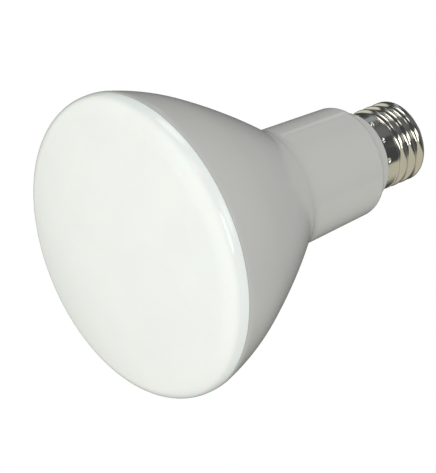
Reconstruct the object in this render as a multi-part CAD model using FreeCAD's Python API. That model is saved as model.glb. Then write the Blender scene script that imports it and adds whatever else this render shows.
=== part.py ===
import FreeCAD, Part
import math
import os
from FreeCAD import Vector

# Reflector bulb, standing on its face: the middle of the diffuser is at the
# origin, and the axis runs up +Z to the contact of the screw cap.
# Lengths are in millimetres and angles in degrees.

# Diffuser: a shallow crown with a round edge
face_radius = 47.6
crown_radius = 150.0
crown_edge_radius = 7.1
diffuser_spigot_radius = 44.6
diffuser_spigot_length = 3.0

# Seam between diffuser and housing: both edges are broken by this chamfer
seam_chamfer = 0.35

# Housing: a rounded rim, a bowl of two arcs, a crease and a tapered neck
rim_radius = 7.0
bowl_start_angle = 15.0
lower_bowl_radius = 82.0
lower_bowl_height = 20.4
upper_bowl_radius = 228.0
crease_radius = 9.0
neck_height = 32.2
neck_taper_angle = 2.36
shoulder_radius = 3.25
shoulder_land = 0.1

# Collar that stands on the shoulder, round the edge of the screw shell
collar_wall = 1.6
collar_height = 4.15
collar_chamfer = 1.0

# Screw shell: sheet rolled to the thread of a medium cap, seven turns to the inch
thread_diameter = 26.1
thread_pitch = 25.4 / 7
thread_depth = 0.70
thread_root_width = 0.9
thread_mouth_width = 2.7
thread_turns = 2.85
thread_fade_turns = 0.3
thread_start_height = 8.45
thread_start_angle = 90.0
skirt_radius = 12.7
skirt_length = 9.5
skirt_step_length = 0.5
shell_length = 21.5
shell_sheet = 0.25
shell_end_thickness = 0.6
shell_end_width = 0.6
shell_curl_radius = 2.0

# Dents that crimp the shell to the housing
dent_count = 12
dent_height = 5.5
dent_ball_radius = 1.1
dent_depth = 0.35
dent_start_angle = 24.0

# Insulator and contact at the end of the cap
insulator_flange = 2.0
insulator_height = 4.4
contact_radius = 4.8
contact_height = 2.0
contact_chamfer = 0.8
contact_stem_radius = 1.6
contact_stem_length = 3.4

# Gap round a piece that slides into another
fit_clearance = 0.1

# Points on one turn of the path that the thread groove follows
path_points_per_turn = 12

# The round edge of the diffuser touches the crown from inside
edge_centre_radius = face_radius - crown_edge_radius
edge_turn = math.asin(edge_centre_radius / (crown_radius - crown_edge_radius))
edge_centre_height = crown_radius - (crown_radius - crown_edge_radius) * math.cos(edge_turn)
seam_height = edge_centre_height + seam_chamfer

# Radii that follow from the thread
crest_radius = thread_diameter / 2
root_radius = crest_radius - thread_depth
bore_radius = root_radius - shell_sheet
plug_radius = bore_radius - fit_clearance
end_hole_radius = crest_radius - shell_curl_radius - shell_end_width

# The collar fits round the skirt, and the neck ends where the round of its
# shoulder meets the land round the collar
socket_radius = skirt_radius + fit_clearance
collar_radius = socket_radius + collar_wall
neck_end_radius = collar_radius + shoulder_land + shoulder_radius
neck_base_radius = neck_end_radius + neck_height * math.tan(math.radians(neck_taper_angle))


def point(radius, height):
    return Vector(radius, 0, height)


def arc(centre, radius, start_angle, end_angle):
    """Arc in the XZ plane; each angle is the lean of its tangent from the axis."""
    angles = (start_angle, (start_angle + end_angle) / 2, end_angle)
    points = [centre + point(radius * math.cos(a), radius * math.sin(a)) for a in angles]
    return Part.Arc(*points).toShape()


def chain(points):
    """Straight edges from each point to the next."""
    return [Part.makeLine(a, b) for a, b in zip(points, points[1:])]


def tangent_arc(start, radius, start_angle, end_angle):
    """Arc that leaves a point on the outline at the given lean."""
    centre = start - point(radius * math.cos(start_angle), radius * math.sin(start_angle))
    return arc(centre, radius, start_angle, end_angle)


def end_of(edge):
    return edge.Vertexes[-1].Point


def turned(edges, corners):
    """Solid of revolution: a run of edges, closed through the corners."""
    links = chain([end_of(edges[-1])] + corners + [edges[0].Vertexes[0].Point])
    face = Part.Face(Part.Wire(edges + links))
    return face.revolve(Vector(0, 0, 0), Vector(0, 0, 1), 360)


def round_edge(solid, radius, at_radius, at_height):
    """Fillet the circular edge at one radius and height."""
    ring = [
        edge
        for edge in solid.Edges
        if edge.Vertexes[0].Point.isEqual(edge.Vertexes[-1].Point, 1e-6)
        and abs(math.hypot(edge.Vertexes[0].X, edge.Vertexes[0].Y) - at_radius) < 1e-4
        and abs(edge.Vertexes[0].Z - at_height) < 1e-4
    ]
    return solid.makeFillet(radius, ring)


def make_diffuser():
    crown = arc(point(0, crown_radius), crown_radius, -math.pi / 2, edge_turn - math.pi / 2)
    edge_centre = point(edge_centre_radius, edge_centre_height)
    edge = arc(edge_centre, crown_edge_radius, edge_turn - math.pi / 2, 0)
    spigot_top = seam_height + diffuser_spigot_length
    corners = [
        point(face_radius - seam_chamfer, seam_height),
        point(diffuser_spigot_radius, seam_height),
        point(diffuser_spigot_radius, spigot_top),
        point(0, spigot_top),
    ]
    return turned([crown, edge], corners)


def bowl_outline():
    """Edges of the housing from the seam to the crease at the neck."""
    start_lean = math.radians(bowl_start_angle)
    rim = tangent_arc(point(face_radius, seam_height + seam_chamfer), rim_radius, 0, start_lean)
    lower_top = seam_height + lower_bowl_height
    lower_rise = lower_top - end_of(rim).z
    lower_lean = math.asin(math.sin(start_lean) + lower_rise / lower_bowl_radius)
    lower = tangent_arc(end_of(rim), lower_bowl_radius, start_lean, lower_lean)
    upper_inset = end_of(lower).x - neck_base_radius
    upper_lean = math.acos(math.cos(lower_lean) - upper_inset / upper_bowl_radius)
    upper = tangent_arc(end_of(lower), upper_bowl_radius, lower_lean, upper_lean)
    return [rim, lower, upper]


bowl = bowl_outline()
crease_height = end_of(bowl[-1]).z
shoulder_height = crease_height + neck_height
shell_end_height = shoulder_height + shell_length
plug_height = shell_end_height - shell_end_thickness - insulator_flange
insulator_top_height = shell_end_height + insulator_height


def make_housing():
    collar_top = shoulder_height + collar_height
    spigot_socket_radius = diffuser_spigot_radius + fit_clearance
    spigot_socket_top = seam_height + diffuser_spigot_length + fit_clearance
    corners = [
        point(neck_end_radius, shoulder_height),
        point(collar_radius, shoulder_height),
        point(collar_radius, collar_top - collar_chamfer),
        point(collar_radius - collar_chamfer, collar_top),
        point(socket_radius, collar_top),
        point(socket_radius, shoulder_height),
        point(plug_radius, shoulder_height),
        point(plug_radius, plug_height),
        point(0, plug_height),
        point(0, spigot_socket_top),
        point(spigot_socket_radius, spigot_socket_top),
        point(spigot_socket_radius, seam_height),
        point(face_radius - seam_chamfer, seam_height),
    ]
    solid = turned(bowl, corners)
    solid = round_edge(solid, crease_radius, neck_base_radius, crease_height)
    return round_edge(solid, shoulder_radius, neck_end_radius, shoulder_height)


def groove_path():
    """Helix that lifts clear of the shell over its first and last part of a turn."""
    lift = thread_depth + fit_clearance
    points = []
    steps = round(thread_turns * path_points_per_turn)
    for step in range(steps + 1):
        turns = thread_turns * step / steps
        to_end = min(turns, thread_turns - turns)
        fade = max(0.0, 1 - to_end / thread_fade_turns)
        radius = crest_radius + lift * fade**2
        angle = math.radians(thread_start_angle + 360 * turns)
        height = shoulder_height + thread_start_height + thread_pitch * turns
        points.append(Vector(radius * math.cos(angle), radius * math.sin(angle), height))
    curve = Part.BSplineCurve()
    curve.interpolate(points)
    return Part.Wire(curve.toShape())


def groove_section(path):
    """Section of the groove, set upright at the first point of its path."""
    flank = (thread_mouth_width - thread_root_width) / 2 / thread_depth
    overcut = thread_depth / 2
    root = thread_root_width / 2
    mouth = root + flank * (thread_depth + overcut)
    corners = [
        point(-thread_depth, -root),
        point(overcut, -mouth),
        point(overcut, mouth),
        point(-thread_depth, root),
    ]
    section = Part.makePolygon(corners + corners[:1])
    section.rotate(Vector(0, 0, 0), Vector(0, 0, 1), thread_start_angle)
    section.translate(path.Vertexes[0].Point)
    return section


def thread_groove():
    path = groove_path()
    sweep = Part.BRepOffsetAPI.MakePipeShell(path)
    sweep.setBiNormalMode(Vector(0, 0, 1))
    sweep.add(groove_section(path))
    sweep.build()
    sweep.makeSolid()
    return sweep.shape()


def crimp_dents():
    centre_radius = skirt_radius + dent_ball_radius - dent_depth
    balls = []
    for index in range(dent_count):
        angle = math.radians(dent_start_angle + 360 * index / dent_count)
        x = centre_radius * math.cos(angle)
        y = centre_radius * math.sin(angle)
        centre = Vector(x, y, shoulder_height + dent_height)
        balls.append(Part.makeSphere(dent_ball_radius, centre))
    return balls


def curl_trim():
    """Ring that takes the square edge off the end of the shell."""
    curl_height = shell_end_height - shell_curl_radius
    curl_centre = point(crest_radius - shell_curl_radius, curl_height)
    curl = arc(curl_centre, shell_curl_radius, 0, math.pi / 2)
    outside_radius = crest_radius + shell_curl_radius
    above_end = shell_end_height + shell_curl_radius
    corners = [
        point(curl_centre.x, above_end),
        point(outside_radius, above_end),
        point(outside_radius, curl_height),
    ]
    return turned([curl], corners)


def skirt_trim():
    """Ring that narrows the shell below its thread to the skirt."""
    step_start = shoulder_height + skirt_length
    below_edge = shoulder_height - skirt_step_length
    outside_radius = 2 * crest_radius - skirt_radius
    inside = chain([
        point(skirt_radius, below_edge),
        point(skirt_radius, step_start),
        point(outside_radius, step_start + 2 * skirt_step_length),
    ])
    return turned(inside, [point(outside_radius, below_edge)])


def make_screw_shell():
    side = chain([point(crest_radius, shoulder_height), point(crest_radius, shell_end_height)])
    inside_end = shell_end_height - shell_end_thickness
    corners = [
        point(end_hole_radius, shell_end_height),
        point(end_hole_radius, inside_end),
        point(bore_radius, inside_end),
        point(bore_radius, shoulder_height),
    ]
    blank = turned(side, corners)
    threaded = blank.cut(thread_groove())
    return threaded.cut(curl_trim()).cut(skirt_trim()).cut(crimp_dents())


def make_insulator():
    """Flange held under the end of the shell, then a cone to the contact."""
    neck_radius = end_hole_radius - fit_clearance
    flange_top = shell_end_height - shell_end_thickness
    cone = chain([
        point(neck_radius, shell_end_height),
        point(contact_radius, insulator_top_height),
    ])
    stem_hole_radius = contact_stem_radius + fit_clearance
    stem_hole_bottom = insulator_top_height - contact_stem_length - fit_clearance
    corners = [
        point(stem_hole_radius, insulator_top_height),
        point(stem_hole_radius, stem_hole_bottom),
        point(0, stem_hole_bottom),
        point(0, plug_height),
        point(plug_radius, plug_height),
        point(plug_radius, flange_top),
        point(neck_radius, flange_top),
    ]
    return turned(cone, corners)


def make_centre_contact():
    top = insulator_top_height + contact_height
    side = chain([
        point(contact_radius, insulator_top_height),
        point(contact_radius, top - contact_chamfer),
    ])
    stem_bottom = insulator_top_height - contact_stem_length
    corners = [
        point(contact_radius - contact_chamfer, top),
        point(0, top),
        point(0, stem_bottom),
        point(contact_stem_radius, stem_bottom),
        point(contact_stem_radius, insulator_top_height),
    ]
    return turned(side, corners)


nodes = {
    "diffuser": make_diffuser(),
    "housing": make_housing(),
    "screw_shell": make_screw_shell(),
    "base_insulator": make_insulator(),
    "centre_contact": make_centre_contact(),
}

os.makedirs("parts", exist_ok=True)
for name, shape in nodes.items():
    shape.exportStep(f"parts/{name}.step")
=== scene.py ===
import math

import bmesh
import bpy
from bpy.props import FloatProperty, FloatVectorProperty, IntProperty, PointerProperty
from mathutils import Matrix, Vector


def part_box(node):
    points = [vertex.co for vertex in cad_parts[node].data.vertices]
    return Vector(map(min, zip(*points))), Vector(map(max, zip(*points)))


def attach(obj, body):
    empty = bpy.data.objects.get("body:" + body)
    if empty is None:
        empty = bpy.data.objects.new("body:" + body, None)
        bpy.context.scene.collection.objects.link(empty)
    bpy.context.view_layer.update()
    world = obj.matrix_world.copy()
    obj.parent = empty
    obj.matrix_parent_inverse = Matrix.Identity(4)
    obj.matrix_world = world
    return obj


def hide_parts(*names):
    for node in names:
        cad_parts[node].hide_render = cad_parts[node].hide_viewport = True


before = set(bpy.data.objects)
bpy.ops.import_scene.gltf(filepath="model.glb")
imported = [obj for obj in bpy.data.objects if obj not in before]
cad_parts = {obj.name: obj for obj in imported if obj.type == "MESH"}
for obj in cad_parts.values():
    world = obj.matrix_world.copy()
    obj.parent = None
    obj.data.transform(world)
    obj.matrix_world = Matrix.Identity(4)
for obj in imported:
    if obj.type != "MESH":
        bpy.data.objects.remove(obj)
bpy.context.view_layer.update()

bl_info = {
    "name": "Reflector Bulb",
    "version": (1, 0, 0),
    "blender": (4, 5, 0),
    "location": "3D View > Sidebar > Bulb",
    "description": "Models, finishes and lights a reflector bulb with a screw cap",
    "category": "Add Mesh",
}

MM = 0.001

# Heights where the real pieces meet or end, read from the frame
SEAM_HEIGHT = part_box("housing")[0][2]
SHOULDER_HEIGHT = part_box("screw_shell")[0][2]
SHELL_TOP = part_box("screw_shell")[1][2]
INSULATOR_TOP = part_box("base_insulator")[1][2]
CONTACT_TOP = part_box("centre_contact")[1][2]

# Vertices closer than this merge, and edges that turn by more than this are sharp
WELD = 0.002 * MM
SHARP_TURN = math.radians(30.0)
SHARP_TURN_ON_THREAD = math.radians(60.0)

# The thread and the dents are rolled only into what is this close to the shell's outside
ROLLED_SKIN = 0.5 * MM

# Camera: where it stands, what it looks at, its roll in radians and its focal length
CAMERA_PLACE = Vector((0.0, -687.56, -446.14)) * MM
CAMERA_TARGET = Vector((6.13, 0.0, 39.86)) * MM
CAMERA_ROLL = 1.169
FOCAL_PIXELS = 2790.7
LONG_SIDE_PIXELS = 473.0
SENSOR = 36.0
NEAREST_SEEN = 0.01

# Area lamps: azimuth and elevation in degrees, width, height, level and colour
LAMP_DISTANCE = 0.9
LAMPS = {
    "key": (-77, -9, 0.41, 0.17, 0.165, (1.0, 0.99, 0.97)),
    "top": (-156, 10, 0.60, 0.60, 0.05, (1.0, 1.0, 1.0)),
}

# The floor's half side and colour
FLOOR_REACH = 3.0
FLOOR_PAINT = (0.9, 0.9, 0.9)

# Lights that only gloss sees: azimuth, elevation and half width in degrees, colour.
# Each is at its full level inside the core, a share of its half width.
LIGHT_CORE = 0.75
ROOM_LIGHTS = (
    (-90, 85, 38, (0.15, 0.16, 0.17)),
    (-86, 18, 13, (2.6, 2.6, 2.45)),
    (-126, 26, 22, (0.14, 0.155, 0.16)),
    (-156, 18, 14, (2.8, 2.8, 2.6)),
    (-125, -4, 8, (2.2, 2.2, 2.1)),
    (161, 44.5, 4.5, (1.0, 1.05, 1.05)),
    (180, 38, 10, (0.30, 0.35, 0.37)),
    (141, -8, 34, (0.68, 0.69, 0.58)),
)

# The rest of what only gloss sees: a dim room, and a warm table that darkens far away
DIM_ROOM = (0.05, 0.055, 0.06)
WARM_TABLE = (0.535, 0.52, 0.425)
DARK_TABLE = (0.05, 0.045, 0.04)

# Soft light of the room on the surfaces: its level, what it gains from below and from
# the front, and what it loses on the right
SOFT_LEVEL = 0.875
GAIN_FROM_BELOW = 0.14
GAIN_FROM_FRONT = 0.05
LOSS_ON_RIGHT = 0.14


def length(name, description, default_mm):
    return FloatProperty(
        name=name, description=description, default=default_mm * MM,
        min=0.0, unit="LENGTH", precision=5,
    )


def angle(name, description, default_degrees):
    return FloatProperty(
        name=name, description=description, default=math.radians(default_degrees),
        unit="ROTATION",
    )


def turns(name, description, default):
    return FloatProperty(name=name, description=description, default=default)


def colour(name, description, default):
    return FloatVectorProperty(
        name=name, description=description, default=default,
        size=3, min=0.0, max=1.0, subtype="COLOR",
    )


def count(name, description, default):
    return IntProperty(name=name, description=description, default=default, min=1)


class DiffuserSizes(bpy.types.PropertyGroup):
    """Sizes of the milky front of the bulb."""

    radius: length("Radius", "Outside radius at the seam", 47.6)
    crown_radius: length("Crown radius", "Radius of the shallow crown", 150.0)
    edge_radius: length("Edge radius", "Radius of the round edge", 7.1)
    seam_chamfer: length("Seam chamfer", "Broken edge at the seam", 0.35)
    spigot_radius: length("Spigot radius", "Radius of the spigot in the housing", 44.6)
    spigot_length: length("Spigot length", "How far the spigot goes in", 3.0)
    steps: count("Steps", "Faces round the axis", 240)


class HousingSizes(bpy.types.PropertyGroup):
    """Sizes of the grey bowl and neck."""

    rim_radius: length("Rim radius", "Radius of the rounded rim above the seam", 7.0)
    start_lean: angle("Start lean", "Lean of the bowl at the end of the rim", 15.0)
    lower_radius: length("Lower bowl radius", "Radius of the first bowl arc", 82.0)
    lower_height: length("Lower bowl height", "Height above the seam of its end", 20.4)
    upper_radius: length("Upper bowl radius", "Radius of the second bowl arc", 228.0)
    crease_radius: length("Crease radius", "Round between bowl and neck", 9.0)
    neck_height: length("Neck height", "Crease to shoulder", 32.2)
    neck_taper: angle("Neck taper", "Lean of the neck's side", 2.36)
    shoulder_radius: length("Shoulder radius", "Round at the end of the neck", 3.25)
    shoulder_land: length("Shoulder land", "Flat between the round and the collar", 0.1)
    collar_wall: length("Collar wall", "Wall of the collar round the shell", 1.6)
    collar_height: length("Collar height", "Height of the collar", 4.15)
    collar_round: length("Collar round", "Round on the collar's edge", 1.2)
    clearance: length("Clearance", "Gap round pieces that slide in", 0.1)
    steps: count("Steps", "Faces round the axis", 240)


class ShellSizes(bpy.types.PropertyGroup):
    """Sizes of the rolled screw shell."""

    crest_radius: length("Crest radius", "Radius over the thread", 13.05)
    pitch: length("Pitch", "Rise of the thread in one turn", 25.4 / 7)
    depth: length("Thread depth", "Crest to root", 0.70)
    root_round: length("Root round", "Radius of the rolled root", 1.15)
    start_height: length("Start height", "Shell's edge to the first root", 8.45)
    start_angle: angle("Start angle", "Where the groove starts", 90.0)
    turns: turns("Turns", "Turns of the groove", 2.85)
    fade_turns: turns("Fade", "Turns over which it fades", 0.3)
    skirt_radius: length("Skirt radius", "Radius below the thread", 12.7)
    skirt_length: length("Skirt length", "Length of the plain skirt", 9.5)
    skirt_step: length("Skirt step", "Length of the step out to the thread", 0.5)
    sheet: length("Sheet", "Thickness at the root", 0.25)
    end_thickness: length("End thickness", "Sheet at the turned-in end", 0.6)
    end_width: length("End width", "Flat ring at the turned-in end", 0.6)
    curl_radius: length("Curl radius", "Round of the turned-in end", 2.0)
    dents: count("Dents", "Crimp dents round the shell", 12)
    dent_height: length("Dent height", "Shell's edge to the dents", 5.5)
    dent_punch: length("Dent punch", "Radius of the punch", 1.1)
    dent_depth: length("Dent depth", "How deep each dent is", 0.35)
    dent_angle: angle("Dent angle", "Where the first dent is", 24.0)
    steps: count("Steps", "Faces round the axis", 384)
    rows: count("Rows", "Rows of faces up the side", 190)


class CapSizes(bpy.types.PropertyGroup):
    """Sizes of the insulator and the centre contact."""

    contact_radius: length("Contact radius", "Radius of the contact", 4.8)
    contact_round: length("Contact round", "Round on the contact's edge", 0.8)
    stem_radius: length("Stem radius", "Radius of the contact's stem", 1.6)
    stem_length: length("Stem length", "Length of the contact's stem", 3.4)
    flange: length("Flange", "Thickness of the insulator's flange", 2.0)
    steps: count("Steps", "Faces round the axis", 128)


class BulbColours(bpy.types.PropertyGroup):
    """Colours of the finishes."""

    milk: colour("Milk", "Far side of the diffuser", (0.955, 0.985, 0.925))
    # The next colour is painted shade: the milk darkened where the diffuser's round edge and
    # near side get less light
    milk_painted_shade: colour("Milk edge", "Diffuser near its edge", (0.755, 0.795, 0.765))
    grey: colour("Grey", "Housing", (0.468, 0.472, 0.448))
    grey_shade: colour("Grey shade", "Darker drift on the housing", (0.43, 0.435, 0.415))
    nickel: colour("Nickel", "Screw shell", (0.80, 0.77, 0.70))
    black: colour("Black", "Insulator", (0.012, 0.012, 0.013))
    tin: colour("Tin", "Centre contact", (0.70, 0.70, 0.68))


class BulbSettings(bpy.types.PropertyGroup):
    """Everything about the bulb that a user would change."""

    diffuser: PointerProperty(type=DiffuserSizes)
    housing: PointerProperty(type=HousingSizes)
    shell: PointerProperty(type=ShellSizes)
    cap: PointerProperty(type=CapSizes)
    colours: PointerProperty(type=BulbColours)


def settings():
    return bpy.context.scene.reflector_bulb


class Outline:
    """Half section in the XZ plane, drawn edge by edge and then spun."""

    def __init__(self, radius, height):
        self.mesh = bmesh.new()
        self.pen = self.mesh.verts.new((radius, 0.0, height))

    def line(self, radius, height, pieces=1):
        """Draw a straight line to a radius and a height, in equal pieces."""
        start = self.pen.co.copy()
        end = Vector((radius, 0.0, height))
        for piece in range(1, pieces + 1):
            vertex = self.mesh.verts.new(start.lerp(end, piece / pieces))
            self.mesh.edges.new((self.pen, vertex))
            self.pen = vertex
        return self.pen

    def arc(self, centre_radius, centre_height, turn, steps):
        """Spin the pen about a centre; a positive turn runs from outwards to up."""
        spun = bmesh.ops.spin(
            self.mesh, geom=[self.pen], cent=(centre_radius, 0.0, centre_height),
            axis=(0.0, -1.0, 0.0), angle=turn, steps=steps,
        )
        self.pen = spun["geom_last"][0]
        return self.pen

    def round_off(self, corner, radius, segments):
        """Round a corner of the outline to a radius."""
        before, after = [edge.other_vert(corner).co - corner.co for edge in corner.link_edges]
        reach = radius / math.tan(before.angle(after) / 2)
        bmesh.ops.bevel(
            self.mesh, geom=[corner], offset=reach, offset_type="OFFSET", segments=segments,
            profile=0.5, affect="VERTICES", material=-1,
        )

    def turned(self, steps):
        """Closed mesh of the outline spun about the Z axis."""
        bmesh.ops.spin(
            self.mesh, geom=self.mesh.verts[:] + self.mesh.edges[:], cent=(0.0, 0.0, 0.0),
            axis=(0.0, 0.0, 1.0), angle=math.tau, steps=steps, use_merge=True,
        )
        bmesh.ops.remove_doubles(self.mesh, verts=self.mesh.verts, dist=WELD)
        bmesh.ops.recalc_face_normals(self.mesh, faces=self.mesh.faces)
        return self.mesh


def finished(mesh, name, material, node, sharp_turn=SHARP_TURN):
    """Make an object of a mesh, smooth apart from its sharp edges, in place of a node."""
    for face in mesh.faces:
        face.smooth = True
    for edge in mesh.edges:
        edge.smooth = edge.calc_face_angle(0.0) < sharp_turn
    data = bpy.data.meshes.new(name)
    mesh.to_mesh(data)
    mesh.free()
    piece = bpy.data.objects.new(name, data)
    bpy.context.collection.objects.link(piece)
    data.materials.append(material)
    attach(piece, "root")
    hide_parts(node)


class Value:
    """A shader socket that takes Python's arithmetic."""

    def __init__(self, finish, socket):
        self.finish = finish
        self.socket = socket

    def math(self, operation, other):
        return self.finish.add("ShaderNodeMath", {"operation": operation}, [self, other])

    def __add__(self, other):
        return self.math("ADD", other)

    def __sub__(self, other):
        return self.math("SUBTRACT", other)

    def __rsub__(self, other):
        return self.finish.add("ShaderNodeMath", {"operation": "SUBTRACT"}, [other, self])

    def __mul__(self, other):
        return self.math("MULTIPLY", other)

    __radd__ = __add__
    __rmul__ = __mul__

    def smooth(self, low, high):
        """0 at low, 1 at high and a smooth step between."""
        ramp = {"interpolation_type": "SMOOTHSTEP"}
        sockets = {"Value": self, "From Min": low, "From Max": high}
        return self.finish.add("ShaderNodeMapRange", ramp, sockets)


class Finish:
    """A node tree of a material or of the world, built by one method."""

    def __init__(self, owner):
        owner.use_nodes = True
        self.tree = owner.node_tree
        self.tree.nodes.clear()

    def add(self, kind, settings=None, inputs=None, output=0):
        """Node of a kind: its settings first, then the values or links of its sockets."""
        node = self.tree.nodes.new(kind)
        for name, value in (settings or {}).items():
            setattr(node, name, value)
        named = inputs if isinstance(inputs, dict) else dict(enumerate(inputs or []))
        for key, value in named.items():
            if isinstance(value, Value):
                self.tree.links.new(value.socket, node.inputs[key])
            else:
                node.inputs[key].default_value = value
        return Value(self, node.outputs[output]) if len(node.outputs) else None

    def colour(self, value):
        return (*value, 1.0)

    def mix_colour(self, factor, first, second):
        """Mix node, whose colour sockets are numbered, because their names repeat."""
        settings = {"data_type": "RGBA"}
        return self.add("ShaderNodeMix", settings, {0: factor, 6: first, 7: second}, 2)

    def place(self):
        return self.add("ShaderNodeTexCoord", output="Object")

    def parts_of(self, vector):
        split = self.add("ShaderNodeSeparateXYZ", inputs=[vector])
        return [Value(self, socket) for socket in split.socket.node.outputs]

    def noise(self, size, detail=2.0, stretch=(1.0, 1.0, 1.0)):
        """Noise whose lumps are about a size across."""
        place = {"Vector": self.place(), "Scale": stretch}
        scaled = self.add("ShaderNodeMapping", inputs=place)
        lumps = {"Vector": scaled, "Scale": 1.0 / size, "Detail": detail}
        return self.add("ShaderNodeTexNoise", inputs=lumps)

    def bump(self, height, distance, strength):
        relief = {"Strength": strength, "Distance": distance, "Height": height}
        return self.add("ShaderNodeBump", inputs=relief)

    def plain_surface(self, sockets):
        """Principled shader with these sockets, shown as the surface."""
        self.surface(self.add("ShaderNodeBsdfPrincipled", inputs=sockets))

    def surface(self, shader, output="ShaderNodeOutputMaterial"):
        self.add(output, inputs={"Surface": shader})


def new_finish(name):
    material = bpy.data.materials.new(name)
    return material, Finish(material)


def milky_plastic(colours):
    """Milky diffuser under a clear gloss, with painted shade on its round edge and its near
    side.
    """
    material, finish = new_finish("milky_plastic")
    y, z = finish.parts_of(finish.place())[1:]
    face_height, edge_height = 8.5 * MM, 12 * MM
    near_side, far_side = -60 * MM, 60 * MM
    # Painted shade: the milk is mixed towards a darker colour up the round edge and towards the
    # near side, as if less light fell there
    edge_painted_shade = z.smooth(face_height, edge_height)
    drift = y.smooth(far_side, near_side) * 0.42
    cloud = finish.noise(18 * MM).smooth(0.3, 0.7) * 0.10
    milk, milk_painted_shade = finish.colour(colours.milk), finish.colour(colours.milk_painted_shade)
    # The tone holds that painted shade and a random cloud in the milk
    tone = finish.mix_colour(edge_painted_shade + drift + cloud, milk, milk_painted_shade)
    haze = finish.noise(1.1 * MM, 4.0)
    finish.plain_surface({
        "Base Color": tone,
        "Roughness": 0.12 + haze * 0.05,
        "IOR": 1.45,
        "Subsurface Weight": 0.12,
        "Subsurface Scale": 2.0 * MM,
        "Normal": finish.bump(haze, 0.0006 * MM, 0.4),
    })
    return material


def grey_plastic(colours):
    """Smooth grey housing: the faintest peel in its gloss and a faint drift of tone."""
    material, finish = new_finish("grey_plastic")
    drift = finish.noise(26 * MM).smooth(0.35, 0.75) * 0.35
    grey, grey_shade = finish.colour(colours.grey), finish.colour(colours.grey_shade)
    tone = finish.mix_colour(drift, grey, grey_shade)
    peel = finish.noise(0.9 * MM, 3.0)
    finish.plain_surface({
        "Base Color": tone,
        "Roughness": 0.11 + peel * 0.04,
        "IOR": 1.4,
        "Normal": finish.bump(peel, 0.0001 * MM, 0.3),
    })
    return material


def nickel_plate(colours):
    """Bright nickel with rolling marks round the shell and a few duller patches."""
    material, finish = new_finish("nickel_plate")
    rolled = finish.noise(0.5 * MM, 3.0, (0.12, 0.12, 1.0))
    patch = finish.noise(5.0 * MM, 3.0).smooth(0.45, 0.7)
    finish.plain_surface({
        "Base Color": finish.colour(colours.nickel),
        "Metallic": 1.0,
        "Roughness": 0.11 + patch * 0.07 + rolled * 0.04,
        "Normal": finish.bump(rolled, 0.01 * MM, 0.5),
    })
    return material


def black_insulator(colours):
    """Glossy black insulator with a fine flow in its surface."""
    material, finish = new_finish("black_insulator")
    flow = finish.noise(2.0 * MM, 3.0)
    finish.plain_surface({
        "Base Color": finish.colour(colours.black),
        "Roughness": 0.12 + flow * 0.1,
        "IOR": 1.52,
        "Normal": finish.bump(flow, 0.03 * MM, 0.6),
    })
    return material


def tinned_metal(colours):
    """Contact dipped in solder: satin, with soft ripples."""
    material, finish = new_finish("tinned_metal")
    ripple = finish.noise(1.6 * MM, 3.0)
    finish.plain_surface({
        "Base Color": finish.colour(colours.tin),
        "Metallic": 0.4,
        "Roughness": 0.35 + ripple * 0.15,
        "Normal": finish.bump(ripple, 0.05 * MM, 0.7),
    })
    return material


class BULB_OT_diffuser(bpy.types.Operator):
    """Make the milky diffuser"""

    bl_idname = "bulb.diffuser"
    bl_label = "Diffuser"

    def execute(self, context):
        size = settings().diffuser
        edge_radius = size.radius - size.edge_radius
        crown_turn = math.asin(edge_radius / (size.crown_radius - size.edge_radius))
        edge_height = SEAM_HEIGHT - size.seam_chamfer
        seam_radius = size.radius - size.seam_chamfer
        spigot_top = SEAM_HEIGHT + size.spigot_length
        outline = Outline(0.0, 0.0)
        outline.arc(0.0, size.crown_radius, crown_turn, steps=24)
        outline.arc(edge_radius, edge_height, math.pi / 2 - crown_turn, steps=20)
        outline.arc(seam_radius, edge_height, math.pi / 2, steps=4)
        outline.line(size.spigot_radius, SEAM_HEIGHT)
        outline.line(size.spigot_radius, spigot_top)
        outline.line(0.0, spigot_top, pieces=4)
        mesh = outline.turned(size.steps)
        material = milky_plastic(settings().colours)
        finished(mesh, "diffuser_crown", material, "diffuser")
        return {"FINISHED"}


def shell_bore(shell):
    """Radius inside the screw shell."""
    return shell.crest_radius - shell.depth - shell.sheet


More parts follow.
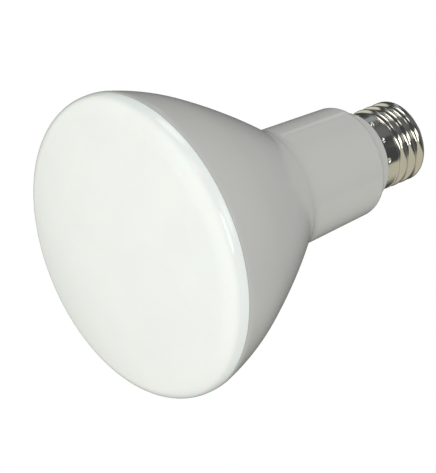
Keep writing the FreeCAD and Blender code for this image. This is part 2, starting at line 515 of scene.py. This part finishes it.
class BULB_OT_housing(bpy.types.Operator):
    """Make the grey bowl and neck"""

    bl_idname = "bulb.housing"
    bl_label = "Housing"

    def execute(self, context):
        size = settings().housing
        face = settings().diffuser
        shell = settings().shell
        seam_radius = face.radius - face.seam_chamfer
        recess_height = SEAM_HEIGHT + face.spigot_length + size.clearance
        recess_radius = face.spigot_radius + size.clearance
        socket = shell.skirt_radius + size.clearance
        collar = socket + size.collar_wall
        collar_height = SHOULDER_HEIGHT + size.collar_height
        neck_end = collar + size.shoulder_land + size.shoulder_radius
        neck_base = neck_end + size.neck_height * math.tan(size.neck_taper)
        plug = shell_bore(shell) - size.clearance
        plug_height = SHELL_TOP - shell.end_thickness - settings().cap.flange
        outline = Outline(0.0, recess_height)
        outline.line(recess_radius, outline.pen.co.z, pieces=4)
        outline.line(outline.pen.co.x, SEAM_HEIGHT)
        outline.line(seam_radius, SEAM_HEIGHT)
        outline.arc(seam_radius, SEAM_HEIGHT + face.seam_chamfer, math.pi / 2, steps=4)
        crease = self.draw_bowl(outline, size, neck_base)
        crease.co = (neck_base, 0.0, SHOULDER_HEIGHT - size.neck_height)
        shoulder = outline.line(neck_end, SHOULDER_HEIGHT)
        outline.line(collar, SHOULDER_HEIGHT)
        collar_edge = outline.line(collar, collar_height)
        outline.line(socket, collar_height)
        outline.line(socket, SHOULDER_HEIGHT)
        outline.line(plug, SHOULDER_HEIGHT)
        outline.line(plug, plug_height)
        outline.line(0.0, plug_height)
        outline.round_off(crease, size.crease_radius, segments=10)
        outline.round_off(shoulder, size.shoulder_radius, segments=14)
        outline.round_off(collar_edge, size.collar_round, segments=4)
        mesh = outline.turned(size.steps)
        material = grey_plastic(settings().colours)
        finished(mesh, "housing_bowl", material, "housing")
        return {"FINISHED"}

    def draw_bowl(self, outline, size, neck_base):
        """Draw the rim and the bowl's two arcs, each of which goes on from the last."""
        start = outline.pen.co.copy()
        rim_radius = start.x - size.rim_radius
        rim_end = outline.arc(rim_radius, start.z, size.start_lean, steps=6).co.copy()
        lower_rise = SEAM_HEIGHT + size.lower_height - rim_end.z
        lower_lean = math.asin(math.sin(size.start_lean) + lower_rise / size.lower_radius)
        outline.arc(
            rim_end.x - size.lower_radius * math.cos(size.start_lean),
            rim_end.z - size.lower_radius * math.sin(size.start_lean),
            lower_lean - size.start_lean, steps=12,
        )
        lower_end = outline.pen.co.copy()
        inset = lower_end.x - neck_base
        upper_lean = math.acos(math.cos(lower_lean) - inset / size.upper_radius)
        return outline.arc(
            lower_end.x - size.upper_radius * math.cos(lower_lean),
            lower_end.z - size.upper_radius * math.sin(lower_lean),
            upper_lean - lower_lean, steps=14,
        )


def thread_depth_at(size, azimuth, height):
    """How far the rolled groove lies below the crest at a place on the shell."""
    part_turn = ((azimuth - size.start_angle) / math.tau) % 1.0
    climbed = (height - SHOULDER_HEIGHT - size.start_height) / size.pitch
    turn = round(climbed - part_turn) + part_turn
    fade = min(turn, size.turns - turn) / size.fade_turns
    if fade <= 0.0:
        return 0.0
    fade = min(fade, 1.0)
    half_pitch = size.pitch / 2
    both_rounds = (half_pitch**2 + size.depth**2) / (2 * size.depth)
    crest_round = both_rounds - size.root_round
    offset = min(abs(climbed - turn) * size.pitch, half_pitch)
    if offset < half_pitch * size.root_round / both_rounds:
        depth = size.depth - size.root_round + math.sqrt(size.root_round**2 - offset**2)
    else:
        depth = crest_round - math.sqrt(crest_round**2 - (half_pitch - offset) ** 2)
    return depth * fade * fade * (3 - 2 * fade)


def skirt_depth_at(size, height):
    """How far the skirt lies below the crest at a height on the shell."""
    over_skirt = height - SHOULDER_HEIGHT - size.skirt_length
    left = 1.0 - min(max(over_skirt / size.skirt_step, 0.0), 1.0)
    return left * (size.crest_radius - size.skirt_radius)


def dent_depth_at(size, azimuth, height):
    """How deep the punch of the nearest crimp dent goes at a place on the shell."""
    spacing = math.tau / size.dents
    nearest = size.dent_angle + spacing * round((azimuth - size.dent_angle) / spacing)
    across = (azimuth - nearest) * size.skirt_radius
    up = height - SHOULDER_HEIGHT - size.dent_height
    away = math.hypot(across, up)
    if away >= size.dent_punch:
        return 0.0
    return max(0.0, size.dent_depth - size.dent_punch + math.sqrt(size.dent_punch**2 - away**2))


class BULB_OT_screw_shell(bpy.types.Operator):
    """Make the rolled screw shell with its thread and crimp dents"""

    bl_idname = "bulb.screw_shell"
    bl_label = "Screw Shell"

    def execute(self, context):
        size = settings().shell
        bore = shell_bore(size)
        curl_height = SHELL_TOP - size.curl_radius
        curl_centre = size.crest_radius - size.curl_radius
        end_hole = curl_centre - size.end_width
        inside_end = SHELL_TOP - size.end_thickness
        outline = Outline(bore, inside_end)
        outline.line(bore, SHOULDER_HEIGHT)
        outline.line(size.crest_radius, SHOULDER_HEIGHT)
        outline.line(size.crest_radius, curl_height, size.rows)
        outline.arc(curl_centre, curl_height, math.pi / 2, steps=16)
        outline.line(end_hole, SHELL_TOP)
        outline.line(end_hole, inside_end)
        outline.line(bore, inside_end)
        mesh = outline.turned(size.steps)
        self.roll(mesh, size)
        material = nickel_plate(settings().colours)
        name = "rolled_screw_shell"
        finished(mesh, name, material, "screw_shell", SHARP_TURN_ON_THREAD)
        return {"FINISHED"}

    def roll(self, mesh, size):
        """Sink the outside of the shell by its thread, its skirt and its dents."""
        for vertex in mesh.verts:
            radius = math.hypot(vertex.co.x, vertex.co.y)
            if radius < size.crest_radius - ROLLED_SKIN:
                continue
            azimuth = math.atan2(vertex.co.y, vertex.co.x)
            groove = thread_depth_at(size, azimuth, vertex.co.z)
            sunk = max(groove, skirt_depth_at(size, vertex.co.z))
            sunk += dent_depth_at(size, azimuth, vertex.co.z)
            scale = 1.0 - sunk / radius
            vertex.co.x *= scale
            vertex.co.y *= scale


class BULB_OT_insulator(bpy.types.Operator):
    """Make the black insulator at the end of the cap"""

    bl_idname = "bulb.insulator"
    bl_label = "Insulator"

    def execute(self, context):
        size = settings().cap
        shell = settings().shell
        clearance = settings().housing.clearance
        plug = shell_bore(shell) - clearance
        throat = shell.crest_radius - shell.curl_radius - shell.end_width - clearance
        flange_top = SHELL_TOP - shell.end_thickness
        stem_hole = size.stem_radius + clearance
        stem_bottom = INSULATOR_TOP - size.stem_length - clearance
        outline = Outline(0.0, flange_top - size.flange)
        outline.line(plug, outline.pen.co.z)
        outline.line(plug, flange_top)
        outline.line(throat, flange_top)
        outline.line(throat, SHELL_TOP)
        outline.line(size.contact_radius, INSULATOR_TOP, pieces=4)
        outline.line(stem_hole, INSULATOR_TOP)
        outline.line(stem_hole, stem_bottom)
        outline.line(0.0, stem_bottom)
        mesh = outline.turned(size.steps)
        material = black_insulator(settings().colours)
        finished(mesh, "black_insulator_cone", material, "base_insulator")
        return {"FINISHED"}


class BULB_OT_contact(bpy.types.Operator):
    """Make the centre contact with its stem"""

    bl_idname = "bulb.contact"
    bl_label = "Centre Contact"

    def execute(self, context):
        size = settings().cap
        stem_bottom = INSULATOR_TOP - size.stem_length
        outline = Outline(0.0, CONTACT_TOP)
        edge = outline.line(size.contact_radius, CONTACT_TOP)
        outline.line(size.contact_radius, INSULATOR_TOP)
        outline.line(size.stem_radius, INSULATOR_TOP)
        outline.line(size.stem_radius, stem_bottom)
        outline.line(0.0, stem_bottom)
        outline.round_off(edge, size.contact_round, segments=6)
        mesh = outline.turned(size.steps)
        material = tinned_metal(settings().colours)
        finished(mesh, "tinned_contact", material, "centre_contact")
        return {"FINISHED"}


def direction(azimuth, elevation):
    """Unit vector of an azimuth from +X towards +Y and an elevation, in degrees."""
    a, e = math.radians(azimuth), math.radians(elevation)
    return Vector((math.cos(a) * math.cos(e), math.sin(a) * math.cos(e), math.sin(e)))


class BULB_OT_stage(bpy.types.Operator):
    """Set up the camera, the floor, the room's light and the lamps"""

    bl_idname = "bulb.stage"
    bl_label = "Stage"

    def execute(self, context):
        self.add_camera()
        self.add_floor()
        self.add_room()
        for name, lamp in LAMPS.items():
            self.add_lamp(name, *lamp)
        bpy.context.scene.view_settings.view_transform = "Standard"
        return {"FINISHED"}

    def add_camera(self):
        """Camera below the face, turned so that the cap points up to the right."""
        ahead = (CAMERA_TARGET - CAMERA_PLACE).normalized()
        right = ahead.cross(Vector((0.0, 0.0, 1.0))).normalized()
        up = right.cross(ahead)
        image_right = right * math.cos(CAMERA_ROLL) + up * math.sin(CAMERA_ROLL)
        image_up = up * math.cos(CAMERA_ROLL) - right * math.sin(CAMERA_ROLL)
        data = bpy.data.cameras.new("camera")
        data.sensor_width = SENSOR
        data.lens = FOCAL_PIXELS * SENSOR / LONG_SIDE_PIXELS
        data.clip_start = NEAREST_SEEN
        camera = bpy.data.objects.new("camera", data)
        axes = Matrix((image_right, image_up, -ahead)).transposed().to_4x4()
        camera.matrix_world = Matrix.Translation(CAMERA_PLACE) @ axes
        bpy.context.collection.objects.link(camera)
        bpy.context.scene.camera = camera

    def add_floor(self):
        """Pale floor that is seen from above only, and from below lets all light by."""
        mesh = bmesh.new()
        bmesh.ops.create_grid(mesh, x_segments=1, y_segments=1, size=FLOOR_REACH)
        data = bpy.data.meshes.new("floor")
        mesh.to_mesh(data)
        mesh.free()
        floor = bpy.data.objects.new("floor", data)
        bpy.context.collection.objects.link(floor)
        material, finish = new_finish("pale_floor")
        paint = finish.add("ShaderNodeBsdfDiffuse", inputs=[finish.colour(FLOOR_PAINT)])
        clear = finish.add("ShaderNodeBsdfTransparent")
        below = finish.add("ShaderNodeNewGeometry", output="Backfacing")
        finish.surface(finish.add("ShaderNodeMixShader", inputs=[below, paint, clear]))
        data.materials.append(material)
        floor.visible_shadow = False
        floor.visible_diffuse = False
        floor.visible_glossy = False
        floor.visible_transmission = False

    def add_room(self):
        """White to the camera; gloss sees a dim studio, its lights and a warm table."""
        world = bpy.data.worlds.new("studio")
        bpy.context.scene.world = world
        finish = Finish(world)
        look = finish.add("ShaderNodeTexCoord", output="Generated")

        def toward(azimuth, elevation):
            """Cosine of the angle between the ray and a direction."""
            aim = tuple(direction(azimuth, elevation))
            dot = {"operation": "DOT_PRODUCT"}
            return finish.add("ShaderNodeVectorMath", dot, [look, aim], "Value")

        on_table = toward(35, -23).smooth(0.0, 0.09)
        far_away = toward(90, 35).smooth(0.45, 0.95)
        dim_room = finish.colour(DIM_ROOM)
        warm_table = finish.colour(WARM_TABLE)
        dark_table = finish.colour(DARK_TABLE)
        table = finish.mix_colour(far_away, warm_table, dark_table)
        studio = finish.mix_colour(on_table, dim_room, table)
        for azimuth, elevation, reach, tint in ROOM_LIGHTS:
            edge = math.cos(math.radians(reach))
            core = math.cos(math.radians(reach * LIGHT_CORE))
            inside = toward(azimuth, elevation).smooth(edge, core)
            studio = finish.mix_colour(inside, studio, finish.colour(tint))
        path = finish.add("ShaderNodeLightPath")
        rays = path.socket.node.outputs
        camera = Value(finish, rays["Is Camera Ray"])
        glossy = Value(finish, rays["Is Glossy Ray"])
        through = Value(finish, rays["Is Transmission Ray"])
        seen = camera.math("MAXIMUM", through)
        soft = SOFT_LEVEL + toward(0, -90) * GAIN_FROM_BELOW
        soft = soft + toward(-100, 0) * GAIN_FROM_FRONT
        soft = soft - toward(30, -5).smooth(0.62, 0.95) * LOSS_ON_RIGHT
        lit = finish.mix_colour(glossy, soft, studio)
        white = finish.colour((1.0, 1.0, 1.0))
        shown = finish.mix_colour(seen, lit, white)
        light = finish.add("ShaderNodeBackground", inputs=[shown])
        finish.surface(light, "ShaderNodeOutputWorld")

    def add_lamp(self, name, azimuth, elevation, width, height, level, tint):
        """Area lamp that adds a level of light to a white surface facing it."""
        data = bpy.data.lights.new(name, "AREA")
        data.shape = "RECTANGLE"
        data.size = width
        data.size_y = height
        data.energy = level * math.pi**2 * LAMP_DISTANCE**2
        data.color = tint
        lamp = bpy.data.objects.new(name, data)
        toward = direction(azimuth, elevation)
        centre = Vector((0.0, 0.0, CONTACT_TOP / 2))
        lamp.location = centre + toward * LAMP_DISTANCE
        lamp.rotation_euler = toward.to_track_quat("Z", "Y").to_euler()
        bpy.context.collection.objects.link(lamp)


PIECES = (
    BULB_OT_diffuser,
    BULB_OT_housing,
    BULB_OT_screw_shell,
    BULB_OT_insulator,
    BULB_OT_contact,
    BULB_OT_stage,
)


class BULB_PT_sidebar(bpy.types.Panel):
    """Buttons for the bulb's pieces and stage, and their sizes and colours"""

    bl_label = "Reflector Bulb"
    bl_idname = "BULB_PT_sidebar"
    bl_space_type = "VIEW_3D"
    bl_region_type = "UI"
    bl_category = "Bulb"

    def draw(self, context):
        for operator in PIECES:
            self.layout.operator(operator.bl_idname)
        for group_name in BulbSettings.__annotations__:
            group = getattr(settings(), group_name)
            box = self.layout.box()
            for name in type(group).__annotations__:
                box.prop(group, name)


CLASSES = (
    DiffuserSizes,
    HousingSizes,
    ShellSizes,
    CapSizes,
    BulbColours,
    BulbSettings,
    *PIECES,
    BULB_PT_sidebar,
)


def register():
    for item in CLASSES:
        bpy.utils.register_class(item)
    bpy.types.Scene.reflector_bulb = PointerProperty(type=BulbSettings)


def unregister():
    del bpy.types.Scene.reflector_bulb
    for item in reversed(CLASSES):
        bpy.utils.unregister_class(item)


def main():
    register()
    bpy.ops.bulb.diffuser()
    bpy.ops.bulb.housing()
    bpy.ops.bulb.screw_shell()
    bpy.ops.bulb.insulator()
    bpy.ops.bulb.contact()
    bpy.ops.bulb.stage()


if __name__ == "__main__":
    main()
